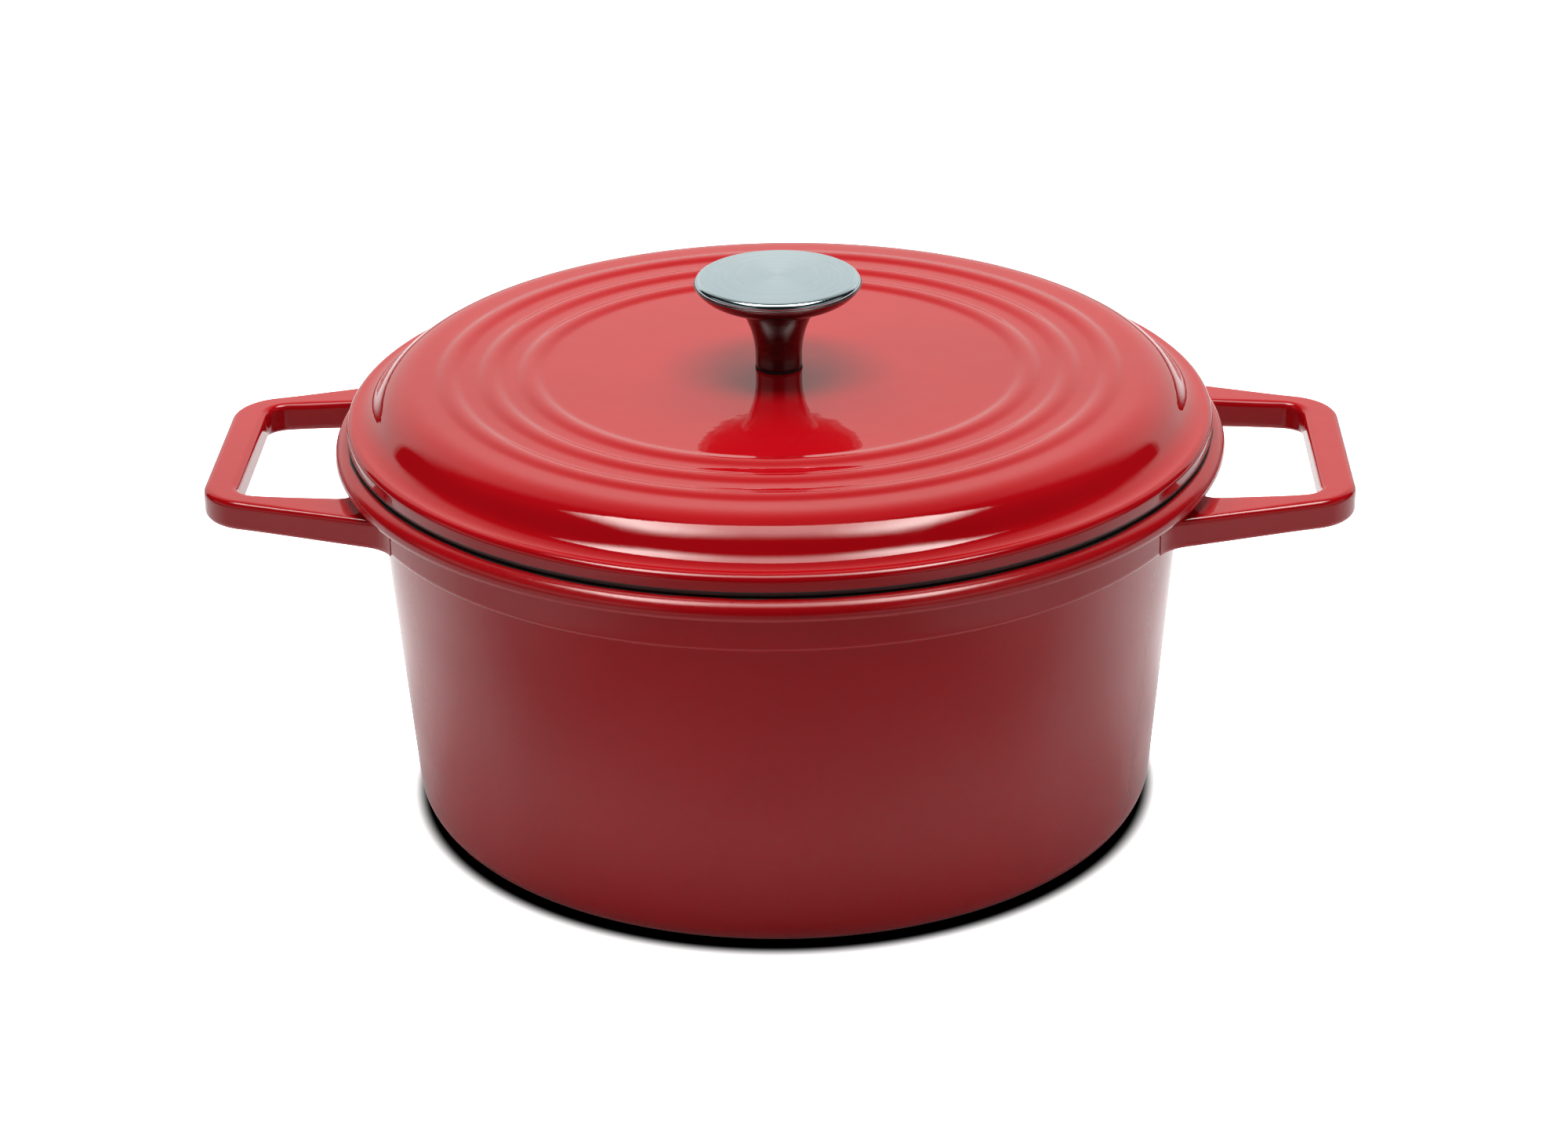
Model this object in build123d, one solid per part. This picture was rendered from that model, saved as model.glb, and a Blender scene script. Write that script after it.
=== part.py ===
from build123d import *
import math
import os

# Enamelled cast iron dutch oven: a round pot with two loop handles, its lid, and the lid's knob.
# Millimetres. Z = 0 is the worktop, Z the pot's axis, and the handles point along +X and -X.
# Every outline below is a half section in (radius, height) that is turned about Z.

# Pot casting
BASE_RADIUS = 116.4        # outer wall, carried down to the worktop
WALL_TOP_RADIUS = 125.0    # outer wall where it meets the collar
WALL = 3.6
FLOOR_TOP = 5.0
BASE_ROUNDING = 10.0
FLOOR_ROUNDING = 11.0
BASE_RECESS = 0.8          # leaves a ring of the base to stand on
RECESS_RADIUS = 86.0
RECESS_SLOPE = 1.6

# Collar and rim round the mouth
COLLAR_RADIUS = 131.4
COLLAR_BOTTOM = 104.3
COLLAR_TOP = 116.9
COLLAR_FILLET = 2.5
LIP_FILLET = 1.0           # between the collar and the lip's underside
LIP_EDGE_ROUNDING = 0.6
LIP_CORNER_ROUNDING = 1.2
LIP_RADIUS = 137.4
LIP_CORNER_HEIGHT = 118.2
RIM_RADIUS = 138.0
RIM_TOP = 122.8
RIM_ROUNDING = 4.2
MOUTH_ROUNDING = 2.0

# Loop handles, in plan
HANDLE_END = 176.3
HANDLE_HALF_WIDTH = 39.9
HANDLE_SPREAD = 18.0       # degrees each outer side opens toward the pot
HANDLE_CORNER = 16.5
GRIP_END = 165.4
GRIP_HALF_WIDTH = 36.0
GRIP_SPREAD = 5.5
GRIP_CORNER = 7.0
ROOT_ROUNDING = 15.0
GRIP_ROOT_ROUNDING = 7.0
HANDLE_THICK = 9.4
HANDLE_TOP_ROUNDING = 2.2
HANDLE_BOTTOM_ROUNDING = 2.0
ROOT_SPLIT = 50.0          # off-axis distance between a loop's inner and outer roots
PLAN_INSIDE = 100.0        # where the plan outlines end, inside the pot's outline
WELD_RADIUS = 124.0        # inner edge of the handle slab, buried in the collar

# Lid casting
LID_TOP = 140.8
LID_UNDERSIDE = 137.0
SCREW_HOLE = 3.3
RING_RADII = (77.0, 89.4, 102.3)
RING_FOOT = 5.6            # concave arc either side of a raised ring
RING_CREST = 7.0           # convex arc on top of it
RING_SLOPE = 22.4          # degrees, the steepest part of a raised ring
SHOULDER_FLAT = 5.0        # level ground outside the last ring
SHOULDER_ARC = 14.0
SHOULDER_TURN = 53.0
SHOULDER_FALL = 2.87       # straight slope between the shoulder and the brim
BRIM_ARC = 8.0
BRIM_FLAT = 0.12
EDGE_TOP_ROUNDING = 2.4
EDGE_BOTTOM_ROUNDING = 1.8
SEAT_FILLET = 0.8          # where the locating ring leaves the seat
TIP_OUTER_ROUNDING = 1.2
TIP_INNER_ROUNDING = 1.5
LOCATOR_BOTTOM = 118.0
LOCATOR_OUTER = 121.6
LOCATOR_TIP_OUTER = 121.0
LOCATOR_TIP_INNER = 117.2
HOLLOW_RADIUS = 116.2
HOLLOW_ROUNDING = 7.0

# Knob, heights measured up from the top of the lid
GASKET_TOP = 0.7
GASKET_INNER = 3.4
GASKET_OUTER = 7.3
STEM_RADIUS = 7.2
STEM_STRAIGHT_TOP = 4.0
FLARE_ARC = 28.73
FLARE_TURN = 33.6
BOWL_POINTS = ((16.4, 21.1), (20.5, 23.1), (23.4, 25.0), (25.2, 27.4))
BOWL_INSIDE = ((11.3, 21.05), (15.9, 22.2), (19.9, 24.15), (22.3, 25.65), (23.9, 27.4))
STEM_BORE = 5.85
POCKET_RADIUS = 8.1
POCKET_BOTTOM = 15.0
POCKET_TOP = 16.7
SEAM = 27.4                # where the cap is joined to the stem
CAP_CROWN = 30.2
CAP_DOME_ARC = 418.7
CAP_DOME_TURN = 3.262
CAP_EDGE_ROUNDING = 1.7
CAP_INNER_RADIUS = 23.9
CAP_INNER_TOP = 29.0
CAP_INNER_EDGE = 28.3
INSERT_BOTTOM = 0.9
INSERT_RADIUS = 5.8
INSERT_FLANGE_RADIUS = 8.0
INSERT_TOP = 16.5
INSERT_BORE = 2.95
INSERT_BORE_TOP = 14.4

# Screw and washers, under the lid
SHANK_RADIUS = 2.9
SHANK_TIP = 13.6           # above the top of the lid
SHANK_CHAMFER = 0.5
FLAT_WASHER = (3.2, 7.0, 1.0)     # hole radius, outer radius, thickness
LOCK_WASHER = (3.2, 5.2, 1.5)
LOCK_GAP = 1.0
HEAD_RADIUS = 5.6
HEAD_HEIGHT = 3.2
HEAD_ROUNDING = 1.6
DRIVE_LENGTH = 5.2
DRIVE_WIDTH = 1.1
DRIVE_DEPTH = 1.8


def turned(edges):
    """The solid a closed half section sweeps about Z."""
    return revolve(Plane.XZ * make_face(edges), Axis.Z)


def turned_corners(corners, roundings=0.0):
    """A turned solid from corner points, with one rounding each or one for all."""
    return turned(FilletPolyline(*corners, radius=roundings, close=True).edges())


def smooth_run(start, steps):
    """Edges that set off along +X: (length,) runs straight, (radius, degrees) turns left."""
    edges = []
    point = Vector(*start)
    heading = Vector(1, 0)
    for step in steps:
        if len(step) == 1:
            edge = Line(point, point + heading * step[0])
        else:
            edge = JernArc(point, heading, *step)
        edges.append(edge)
        point = edge @ 1
        heading = edge % 1
    return edges


def wall_radius(height):
    """Outer radius of the tapering pot wall."""
    return BASE_RADIUS + (WALL_TOP_RADIUS - BASE_RADIUS) * height / COLLAR_BOTTOM


def pot_shell():
    """The turned part of the pot: base, wall, collar, lip and rim."""
    section = (
        (0.0, BASE_RECESS, 0.0),
        (RECESS_RADIUS, BASE_RECESS, 0.0),
        (RECESS_RADIUS + RECESS_SLOPE, 0.0, 0.0),
        (BASE_RADIUS, 0.0, BASE_ROUNDING),
        (WALL_TOP_RADIUS, COLLAR_BOTTOM, COLLAR_FILLET),
        (COLLAR_RADIUS, COLLAR_BOTTOM, 0.0),
        (COLLAR_RADIUS, COLLAR_TOP, LIP_FILLET),
        (LIP_RADIUS, COLLAR_TOP, LIP_EDGE_ROUNDING),
        (RIM_RADIUS, LIP_CORNER_HEIGHT, LIP_CORNER_ROUNDING),
        (RIM_RADIUS, RIM_TOP, RIM_ROUNDING),
        (wall_radius(RIM_TOP) - WALL, RIM_TOP, MOUTH_ROUNDING),
        (wall_radius(FLOOR_TOP) - WALL, FLOOR_TOP, FLOOR_ROUNDING),
        (0.0, FLOOR_TOP, 0.0),
    )
    corners = [(radius, height) for radius, height, _ in section]
    roundings = [rounding for _, _, rounding in section]
    return turned_corners(corners, roundings)


def spread_plan(end, half_width, spread, corner):
    """Plan outline of one loop edge: square across the end, opening out toward the pot."""
    root = half_width + (end - PLAN_INSIDE) * math.tan(math.radians(spread))
    points = ((PLAN_INSIDE, -root), (end, -half_width), (end, half_width), (PLAN_INSIDE, root))
    return make_face(FilletPolyline(*points, radius=(0, corner, corner, 0), close=True).edges())


def blend_roots(plan, nearest, furthest, rounding):
    """Rounds the plan corners on the collar's face whose distance from the X axis is in range."""
    corners = []
    for vertex in plan.vertices():
        on_collar = abs(math.hypot(vertex.X, vertex.Y) - COLLAR_RADIUS) < 0.01
        if on_collar and nearest < abs(vertex.Y) < furthest:
            corners.append(vertex)
    return fillet(corners, rounding)


def handle_plan():
    """Plan of both loops and the collar between them, with their roots blended."""
    outside = spread_plan(HANDLE_END, HANDLE_HALF_WIDTH, HANDLE_SPREAD, HANDLE_CORNER)
    grip = spread_plan(GRIP_END, GRIP_HALF_WIDTH, GRIP_SPREAD, GRIP_CORNER)
    loop = outside - grip
    plan = Circle(COLLAR_RADIUS) + loop + Rot(0, 0, 180) * loop
    plan = blend_roots(plan, ROOT_SPLIT, COLLAR_RADIUS, ROOT_ROUNDING)
    return blend_roots(plan, GRIP_CORNER, ROOT_SPLIT, GRIP_ROOT_ROUNDING)


def outer_edges(solid, height):
    """The edges at one height that lie outside the collar's face."""
    level = solid.edges().filter_by_position(Axis.Z, height - 0.001, height + 0.001)
    return [e for e in level if math.hypot((e @ 0.5).X, (e @ 0.5).Y) > COLLAR_RADIUS - 0.5]


def pot_body():
    """The pot casting: turned shell with both loop handles cast on."""
    slab = extrude(handle_plan() - Circle(WELD_RADIUS), HANDLE_THICK)
    slab = Pos(0, 0, COLLAR_BOTTOM) * slab
    slab = fillet(outer_edges(slab, COLLAR_BOTTOM + HANDLE_THICK), HANDLE_TOP_ROUNDING)
    body = pot_shell() + slab
    return fillet(outer_edges(body, COLLAR_BOTTOM), HANDLE_BOTTOM_ROUNDING)


def lid():
    """The lid casting: plate with raised rings, shoulder, brim and a locating ring below."""
    steps = []
    reached = SCREW_HOLE
    ring_half_width = (RING_FOOT + RING_CREST) * math.sin(math.radians(RING_SLOPE))
    for radius in RING_RADII:
        steps.append((radius - ring_half_width - reached,))
        steps.append((RING_FOOT, RING_SLOPE))
        steps.append((RING_CREST, -2 * RING_SLOPE))
        steps.append((RING_FOOT, RING_SLOPE))
        reached = radius + ring_half_width
    steps.append((SHOULDER_FLAT,))
    steps.append((SHOULDER_ARC, -SHOULDER_TURN))
    steps.append((SHOULDER_FALL,))
    steps.append((BRIM_ARC, SHOULDER_TURN))
    steps.append((BRIM_FLAT,))
    steps.append((EDGE_TOP_ROUNDING, -90))
    top = smooth_run((SCREW_HOLE, LID_TOP), steps)
    edge = top[-1] @ 1
    tip_roundings = (TIP_OUTER_ROUNDING, TIP_INNER_ROUNDING)
    underside = FilletPolyline(
        edge,
        (edge.X, RIM_TOP),
        (LOCATOR_OUTER, RIM_TOP),
        (LOCATOR_TIP_OUTER, LOCATOR_BOTTOM),
        (LOCATOR_TIP_INNER, LOCATOR_BOTTOM),
        (HOLLOW_RADIUS, LID_UNDERSIDE),
        (SCREW_HOLE, LID_UNDERSIDE),
        (SCREW_HOLE, LID_TOP),
        radius=(EDGE_BOTTOM_ROUNDING, SEAT_FILLET, *tip_roundings, HOLLOW_ROUNDING, 0),
    )
    return turned([*top, *underside.edges()])


def above_lid(points):
    """Knob points, given as heights above the lid's top, placed in the whole oven."""
    return [(radius, LID_TOP + height) for radius, height in points]


def knob_stem():
    """The flared lower shell of the knob: neck, crease and shallow bowl, open at the top."""
    flare = smooth_neck()
    crease = flare[-1] @ 1
    bowl = above_lid(BOWL_POINTS)
    inside = above_lid(BOWL_INSIDE)
    edges = [
        *flare,
        ThreePointArc(crease, bowl[0], bowl[1]),
        ThreePointArc(bowl[1], bowl[2], bowl[3]),
        Line(bowl[3], inside[4]),
        ThreePointArc(inside[4], inside[3], inside[2]),
        ThreePointArc(inside[2], inside[1], inside[0]),
    ]
    socket = above_lid(
        (
            BOWL_INSIDE[0],
            (POCKET_RADIUS, POCKET_TOP),
            (POCKET_RADIUS, POCKET_BOTTOM),
            (STEM_BORE, POCKET_BOTTOM),
            (STEM_BORE, GASKET_TOP),
            (STEM_RADIUS, GASKET_TOP),
        )
    )
    edges.extend(Polyline(*socket).edges())
    return turned(edges)


def smooth_neck():
    """The neck's outside: straight up from the gasket, then flaring out to the crease."""
    foot, bend = above_lid(((STEM_RADIUS, GASKET_TOP), (STEM_RADIUS, STEM_STRAIGHT_TOP)))
    return [Line(foot, bend), JernArc(bend, (0, 1), FLARE_ARC, -FLARE_TURN)]


def knob_cap():
    """The knob's round top plate: a slightly domed shell with a rounded edge."""
    drop = CAP_CROWN - SEAM
    dome_drop = CAP_DOME_ARC * (1 - math.cos(math.radians(CAP_DOME_TURN)))
    edge_drop = CAP_EDGE_ROUNDING * math.cos(math.radians(CAP_DOME_TURN))
    steps = (
        (CAP_DOME_ARC, -CAP_DOME_TURN),
        (CAP_EDGE_ROUNDING, CAP_DOME_TURN - 90),
        (drop - dome_drop - edge_drop,),
    )
    crown = (0, LID_TOP + CAP_CROWN)
    outside = smooth_run(crown, steps)
    inside = above_lid(
        (
            (CAP_INNER_RADIUS, SEAM),
            (CAP_INNER_RADIUS, CAP_INNER_EDGE),
            (0, CAP_INNER_TOP),
        )
    )
    return turned([*outside, *Polyline(outside[-1] @ 1, *inside, crown).edges()])


def knob_insert():
    """The flanged threaded insert in the knob's neck, drawn with a plain blind bore."""
    corners = (
        (INSERT_BORE, INSERT_BOTTOM),
        (INSERT_RADIUS, INSERT_BOTTOM),
        (INSERT_RADIUS, POCKET_BOTTOM),
        (INSERT_FLANGE_RADIUS, POCKET_BOTTOM),
        (INSERT_FLANGE_RADIUS, INSERT_TOP),
        (0, INSERT_TOP),
        (0, INSERT_BORE_TOP),
        (INSERT_BORE, INSERT_BORE_TOP),
    )
    return turned_corners(above_lid(corners))


def ring(bottom, inner, outer, thickness):
    """A flat ring standing on one height."""
    face = Circle(outer) - Circle(inner)
    return Pos(0, 0, bottom) * extrude(face, thickness)


def lock_washer(bottom):
    """The spring washer: a ring cut through once, lying flat as when tightened."""
    inner, outer, thickness = LOCK_WASHER
    gap = Box(outer * 2, LOCK_GAP, thickness * 3, align=(Align.MIN, Align.CENTER, Align.CENTER))
    return ring(bottom, inner, outer, thickness) - Pos(0, 0, bottom) * gap


def knob_screw(seat):
    """The pan head screw, head down, its head touching the washers at the seat height."""
    corners = (
        (0, seat - HEAD_HEIGHT, 0),
        (HEAD_RADIUS, seat - HEAD_HEIGHT, HEAD_ROUNDING),
        (HEAD_RADIUS, seat, 0),
        (SHANK_RADIUS, seat, 0),
        (SHANK_RADIUS, LID_TOP + SHANK_TIP - SHANK_CHAMFER, 0),
        (SHANK_RADIUS - SHANK_CHAMFER, LID_TOP + SHANK_TIP, 0),
        (0, LID_TOP + SHANK_TIP, 0),
    )
    points = [(radius, height) for radius, height, _ in corners]
    roundings = [rounding for _, _, rounding in corners]
    slot = Box(DRIVE_LENGTH, DRIVE_WIDTH, 2 * DRIVE_DEPTH)
    drive = slot + Rot(0, 0, 90) * slot
    return turned_corners(points, roundings) - Pos(0, 0, seat - HEAD_HEIGHT) * drive


def all_parts():
    """Every piece of the oven by name, in its closed place."""
    flat_inner, flat_outer, flat_thickness = FLAT_WASHER
    flat_bottom = LID_UNDERSIDE - flat_thickness
    lock_bottom = flat_bottom - LOCK_WASHER[2]
    return {
        "pot_body": pot_body(),
        "lid": lid(),
        "knob_gasket": ring(LID_TOP, GASKET_INNER, GASKET_OUTER, GASKET_TOP),
        "knob_stem": knob_stem(),
        "knob_cap": knob_cap(),
        "knob_insert": knob_insert(),
        "flat_washer": ring(flat_bottom, flat_inner, flat_outer, flat_thickness),
        "lock_washer": lock_washer(lock_bottom),
        "knob_screw": knob_screw(lock_bottom),
    }


os.makedirs("parts", exist_ok=True)
for name, piece in all_parts().items():
    export_step(piece, f"parts/{name}.step")
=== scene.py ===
"""Looks of a round enamelled dutch oven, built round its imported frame.

Shapes are written in millimetres, and materials, lamps and the camera in metres. +Z is up.
"""
import math

import bmesh
import bpy
from mathutils import Matrix, Vector, noise


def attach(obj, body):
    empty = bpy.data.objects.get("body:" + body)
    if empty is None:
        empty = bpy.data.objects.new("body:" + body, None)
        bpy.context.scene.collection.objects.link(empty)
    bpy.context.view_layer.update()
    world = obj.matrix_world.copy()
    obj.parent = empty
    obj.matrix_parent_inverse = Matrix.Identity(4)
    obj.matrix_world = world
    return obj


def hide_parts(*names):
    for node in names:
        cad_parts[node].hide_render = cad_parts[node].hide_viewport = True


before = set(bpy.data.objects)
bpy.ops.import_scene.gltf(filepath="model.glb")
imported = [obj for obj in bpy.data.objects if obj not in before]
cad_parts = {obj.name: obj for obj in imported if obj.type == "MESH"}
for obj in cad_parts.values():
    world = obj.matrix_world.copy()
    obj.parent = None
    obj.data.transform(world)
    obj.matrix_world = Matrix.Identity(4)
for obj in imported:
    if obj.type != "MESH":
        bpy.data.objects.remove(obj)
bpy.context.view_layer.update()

MM = 0.001
DEGREE = math.radians(1)

# Pot casting, as a half section
BASE_RADIUS = 116.4
BASE_ROUNDING = 10.0
BASE_RECESS = 0.8
RECESS_RADIUS = 86.0
RECESS_ROUNDING = 2.0
RECESS_SLOPE = 1.6
BASE_RING_ROUNDING = 1.0
WALL_TOP_RADIUS = 125.0
WALL = 3.6
FLOOR_TOP = 5.0
FLOOR_ROUNDING = 11.0

# Collar and rim round its mouth
COLLAR_RADIUS = 131.4
COLLAR_BOTTOM = 104.3
COLLAR_TOP = 116.9
COLLAR_FILLET = 2.5
COLLAR_EDGE_ROUNDING = 2.0
LIP_RADIUS = 137.4
LIP_FILLET = 1.0
LIP_EDGE_ROUNDING = 0.6
LIP_CORNER_HEIGHT = 118.2
LIP_CORNER_ROUNDING = 1.2
RIM_RADIUS = 137.95
RIM_TOP = 122.8
RIM_ROUNDING = 4.2
MOUTH_ROUNDING = 2.0

# Loop handles, in plan
HANDLE_END = 176.3
HANDLE_HALF_WIDTH = 39.9
HANDLE_SPREAD = 18.0
HANDLE_CORNER = 16.5
GRIP_END = 165.4
GRIP_HALF_WIDTH = 36.0
GRIP_SPREAD = 5.5
GRIP_CORNER = 7.0
ROOT_ROUNDING = 15.0
GRIP_ROOT_ROUNDING = 7.0
HANDLE_TOP = 113.7
HANDLE_TOP_ROUNDING = 2.2
HANDLE_BOTTOM_ROUNDING = 2.0

# Steps along one edge of a loop, and round its section
ROOT_STEPS = 10
SIDE_STEPS = 24
CORNER_STEPS = 14
END_STEPS = 14
ROUNDING_STEPS = 10
FLAT_STEPS = 7

# Lid casting
LID_TOP = 140.8
LID_UNDERSIDE = 137.0
SCREW_HOLE = 3.3
HOLE_ROUNDING = 0.4
RING_RADII = (77.0, 89.4, 102.3)
RING_FOOT = 5.6
RING_CREST = 7.0
RING_SLOPE = 22.4
SHOULDER_FLAT = 5.0
SHOULDER_ARC = 14.0
SHOULDER_TURN = 53.0
SHOULDER_FALL = 2.87
BRIM_ARC = 8.0
BRIM_FLAT = 0.12
EDGE_TOP_ROUNDING = 2.4
EDGE_BOTTOM_ROUNDING = 1.8
SEAT_FILLET = 0.8
LOCATOR_BOTTOM = 118.0
LOCATOR_OUTER = 121.6
LOCATOR_TIP_OUTER = 121.0
LOCATOR_TIP_INNER = 117.2
TIP_OUTER_ROUNDING = 1.2
TIP_INNER_ROUNDING = 1.5
HOLLOW_RADIUS = 116.2
HOLLOW_ROUNDING = 7.0

# Unevenness of both castings: its depth and the width of its swells
SETTLE_DEPTH = 0.06
SETTLE_WIDTH = 16.0

# Knob, heights measured up from the top of the lid
STEM_FOOT = 0.9
STEM_RADIUS = 7.2
STEM_STRAIGHT = 3.1
STEM_BOTTOM = 0.7
STEM_BOTTOM_RADIUS = 7.0
STEM_BORE = 5.85
STEM_BORE_ROUNDING = 0.2
FLARE_ARC = 28.73
FLARE_TURN = 33.6
BOWL_START_DEGREES = 11.0
BOWL_ARCS = ((34.0, 17.0), (11.0, 32.0))
BOWL_INSIDE = ((19.9, 24.15, 8.0), (11.3, 21.05, 1.0))
BOWL_TOP_RADIUS = 25.2
POCKET_RADIUS = 8.1
POCKET_BOTTOM = 15.0
POCKET_TOP = 16.7
SEAM = 27.4
SEAM_ROUNDING = 0.2
CAP_CROWN = 30.2
CAP_DOME_ARC = 418.7
CAP_DOME_TURN = 3.262
CAP_EDGE_ROUNDING = 1.7
CAP_SIDE_RADIUS = 25.425
CAP_SIDE_BOTTOM = 27.8
CAP_SKIRT_RADIUS = 25.35
CAP_SKIRT_ROUNDING = 0.25
CAP_INNER_RADIUS = 23.9
CAP_INNER_EDGE = 28.3
CAP_INNER_ROUNDING = 0.4
CAP_INNER_TOP = 29.0

# Gasket and washers: inner radius, outer radius, thickness and broken edge
GASKET = (3.4, 7.3, 0.7, 0.2)
FLAT_WASHER = (3.2, 7.0, 1.0, 0.15)
LOCK_WASHER = (3.2, 5.2, 1.5, 0.18)
LOCK_GAP_DEGREES = 6.0
WASHER_BOTTOM = LID_UNDERSIDE - 1.0

# Screw. The cross in its head is given by half length, half width and height over the head's face
SCREW_SEAT = LID_UNDERSIDE - 2.5
HEAD_RADIUS = 5.6
HEAD_HEIGHT = 3.2
HEAD_ROUNDING = 1.7
HEAD_EDGE_ROUNDING = 0.15
HEAD_NECK_RADIUS = 2.6
HEAD_NECK_HEIGHT = 0.3
HEAD_SHARP_DEGREES = 35
CROSS_MOUTH = (2.75, 0.62, -4.0)
CROSS_TIP = (0.9, 0.42, 1.9)
SHANK_TIP = LID_TOP + 13.6
THREAD_CREST = 2.9
THREAD_DEPTH = 0.6
THREAD_PITCH = 1.0
THREAD_FLAT = 0.1
THREAD_FLANKS = 0.75
THREAD_RUN_OUT = 1.2
THREAD_RUN_OUT_DEPTH = 0.5
THREAD_ROWS_PER_TURN = 8

# Fineness of the meshes
SPACING = 1.6
KNOB_SPACING = 0.6
CAP_SPACING = 0.7
KNOB_INSIDE_SPACING = 1.0
WASHER_SPACING = 0.8
LOCK_SPACING = 0.5
HEAD_SPACING = 0.6
ARC_STEP_DEGREES = 7.5
CASTING_SEGMENTS = 320
KNOB_SEGMENTS = 192
RING_SEGMENTS = 96
LOCK_SEGMENTS = 72
THREAD_SEGMENTS = 48
ON_AXIS = 1e-6


def arc_steps(bend, turn, spacing):
    """How many runs an arc is divided into, by its angle in radians and by its length."""
    by_angle = math.ceil(abs(math.degrees(turn)) / ARC_STEP_DEGREES)
    by_length = math.ceil(bend * abs(turn) / spacing)
    return max(2, by_angle, by_length)


class Outline:
    """A half section in (radius, height), walked in straight runs and tangent arcs."""

    def __init__(self, radius, height, heading=0.0, spacing=SPACING):
        self.points = [(radius, height)]
        self.heading = math.radians(heading)
        self.spacing = spacing

    def run(self, length):
        """Walks straight on."""
        count = max(1, math.ceil(length / self.spacing))
        for _ in range(count):
            radius, height = self.points[-1]
            radius += math.cos(self.heading) * length / count
            height += math.sin(self.heading) * length / count
            self.points.append((radius, height))
        return self

    def arc(self, bend, degrees):
        """Turns left by the degrees, or right when they are negative, at that radius."""
        turn = math.radians(degrees)
        reach = math.copysign(bend, turn)
        radius, height = self.points[-1]
        centre_radius = radius - math.sin(self.heading) * reach
        centre_height = height + math.cos(self.heading) * reach
        count = arc_steps(bend, turn, self.spacing)
        for step in range(1, count + 1):
            angle = self.heading + turn * step / count
            radius = centre_radius + math.sin(angle) * reach
            height = centre_height - math.cos(angle) * reach
            self.points.append((radius, height))
        self.heading += turn
        return self


def swept(centre, start, sweep, count):
    """Points of an arc: a spoke from the centre, turned step by step through the sweep."""
    points = []
    for step in range(count + 1):
        spoke = start.copy()
        spoke.rotate(Matrix.Rotation(-sweep * step / count, 2))
        points.append(centre + spoke)
    return points


def rounded(corners, closed=False, spacing=SPACING):
    """Points along (x, y, rounding) corners, their roundings cut as arcs and their runs divided."""
    count = len(corners)
    points = []
    for index, (x, y, bend) in enumerate(corners):
        here = Vector((x, y))
        inner = closed or 0 < index < count - 1
        if not inner or bend == 0:
            points.append(here)
            continue
        before = (Vector(corners[index - 1][:2]) - here).normalized()
        after = (Vector(corners[(index + 1) % count][:2]) - here).normalized()
        half = before.angle(after) / 2
        reach = bend / math.tan(half)
        centre = here + (before + after).normalized() * bend / math.sin(half)
        start = here + before * reach - centre
        end = here + after * reach - centre
        sweep = start.angle_signed(end)
        points.extend(swept(centre, start, sweep, arc_steps(bend, sweep, spacing)))
    if closed:
        points.append(points[0])
    divided = [points[0]]
    for start, end in zip(points, points[1:]):
        pieces = max(1, math.ceil((end - start).length / spacing))
        divided.extend(start.lerp(end, step / pieces) for step in range(1, pieces + 1))
    if closed:
        divided.pop()
    return [tuple(point) for point in divided]


def polar(radius, angle, height):
    """The point at a radius, an angle about Z and a height."""
    return radius * math.cos(angle), radius * math.sin(angle), height


def mesh_object(name, points, faces):
    """A smooth mesh in the scene, from points in millimetres, with its normals facing out."""
    mesh = bpy.data.meshes.new(name)
    mesh.from_pydata([tuple(value * MM for value in point) for point in points], [], faces)
    shape = bmesh.new()
    shape.from_mesh(mesh)
    bmesh.ops.recalc_face_normals(shape, faces=shape.faces)
    shape.to_mesh(mesh)
    shape.free()
    mesh.shade_smooth()
    made = bpy.data.objects.new(name, mesh)
    bpy.context.scene.collection.objects.link(made)
    return made


def lathe(name, section, segments):
    """Turns a closed half section about Z. Points on the axis become single poles."""
    points = []
    rings = []
    for radius, height in section:
        first = len(points)
        if radius < ON_AXIS:
            rings.append([first] * segments)
            points.append((0.0, 0.0, height))
            continue
        rings.append(range(first, first + segments))
        points.extend(polar(radius, 2 * math.pi * step / segments, height) for step in range(segments))
    faces = []
    for ring, following in zip(rings, rings[1:] + rings[:1]):
        for step in range(segments):
            ahead = (step + 1) % segments
            corners = (ring[step], ring[ahead], following[ahead], following[step])
            corners = tuple(dict.fromkeys(corners))
            if len(corners) > 2:
                faces.append(corners)
    return mesh_object(name, points, faces)


def skinned(name, rows):
    """A closed solid over rows of equally many points, with a cap on the first and the last row."""
    count = len(rows[0])
    points = [point for row in rows for point in row]
    faces = []
    for first in range(0, len(points) - count, count):
        for step in range(count):
            ahead = (step + 1) % count
            faces.append((first + step, first + ahead, first + count + ahead, first + count + step))
    faces.append(tuple(range(count)))
    faces.append(tuple(range(len(points) - count, len(points))))
    return mesh_object(name, points, faces)


def settle(piece, seed):
    """Gives a casting its slight unevenness: each point sinks a little along its normal."""
    mesh = piece.data
    offset = Vector((seed * 17.3, seed * 5.1, seed * 9.7))
    normals = [vertex.normal.copy() for vertex in mesh.vertices]
    for vertex, normal in zip(mesh.vertices, normals):
        place = vertex.co / (SETTLE_WIDTH * MM) + offset
        depth = 0.5 + 0.35 * noise.noise(place) + 0.15 * noise.noise(place * 2.3)
        vertex.co -= normal * (SETTLE_DEPTH * MM * min(max(depth, 0.0), 1.0))
    mesh.update()


def wall_radius(height):
    """Outer radius of the tapering pot wall."""
    return BASE_RADIUS + (WALL_TOP_RADIUS - BASE_RADIUS) * height / COLLAR_BOTTOM


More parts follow.
